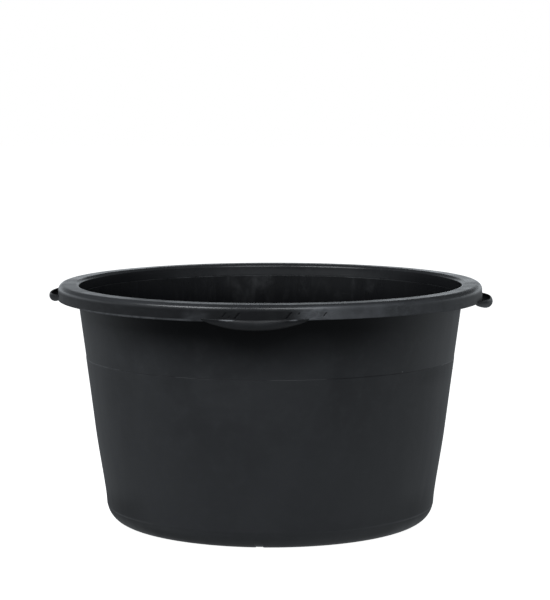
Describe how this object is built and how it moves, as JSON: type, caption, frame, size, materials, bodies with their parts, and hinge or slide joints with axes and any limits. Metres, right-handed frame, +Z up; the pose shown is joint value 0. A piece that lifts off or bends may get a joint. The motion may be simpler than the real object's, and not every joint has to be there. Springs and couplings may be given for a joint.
{
  "type": "mortar mixing tub",
  "caption": "Round black plastic mortar mixing tub with a tapered wall, an outer stacking step, a wide channel rim and crescent trough grips under the rim.",
  "frame": {"origin": "centre of the underside, on the plane the foot stands on", "axes": "+Z up along the tub's axis, towards the mouth; the grips stand on -Y (front_grip), +Y (rear_grip), -X (left_grip) and +X (right_grip); the left grip stands 5 mm higher than the other three"},
  "size_m": [0.6302, 0.6302, 0.3408],
  "materials": {
    "shell_polyethylene": "satin black recycled polyethylene, faintly cloudy, dusty inside",
    "rim_polyethylene": "satin black recycled polyethylene, rubbed on the shoulder, scuffed on the skirt",
    "grip_polyethylene": "satin black recycled polyethylene, polished along the top edge"
  },
  "bodies": {
    "root": {"tub_shell": "shell_polyethylene", "rim_collar": "rim_polyethylene", "front_grip": "grip_polyethylene", "rear_grip": "grip_polyethylene", "left_grip": "grip_polyethylene", "right_grip": "grip_polyethylene"}
  },
  "joints": []
}
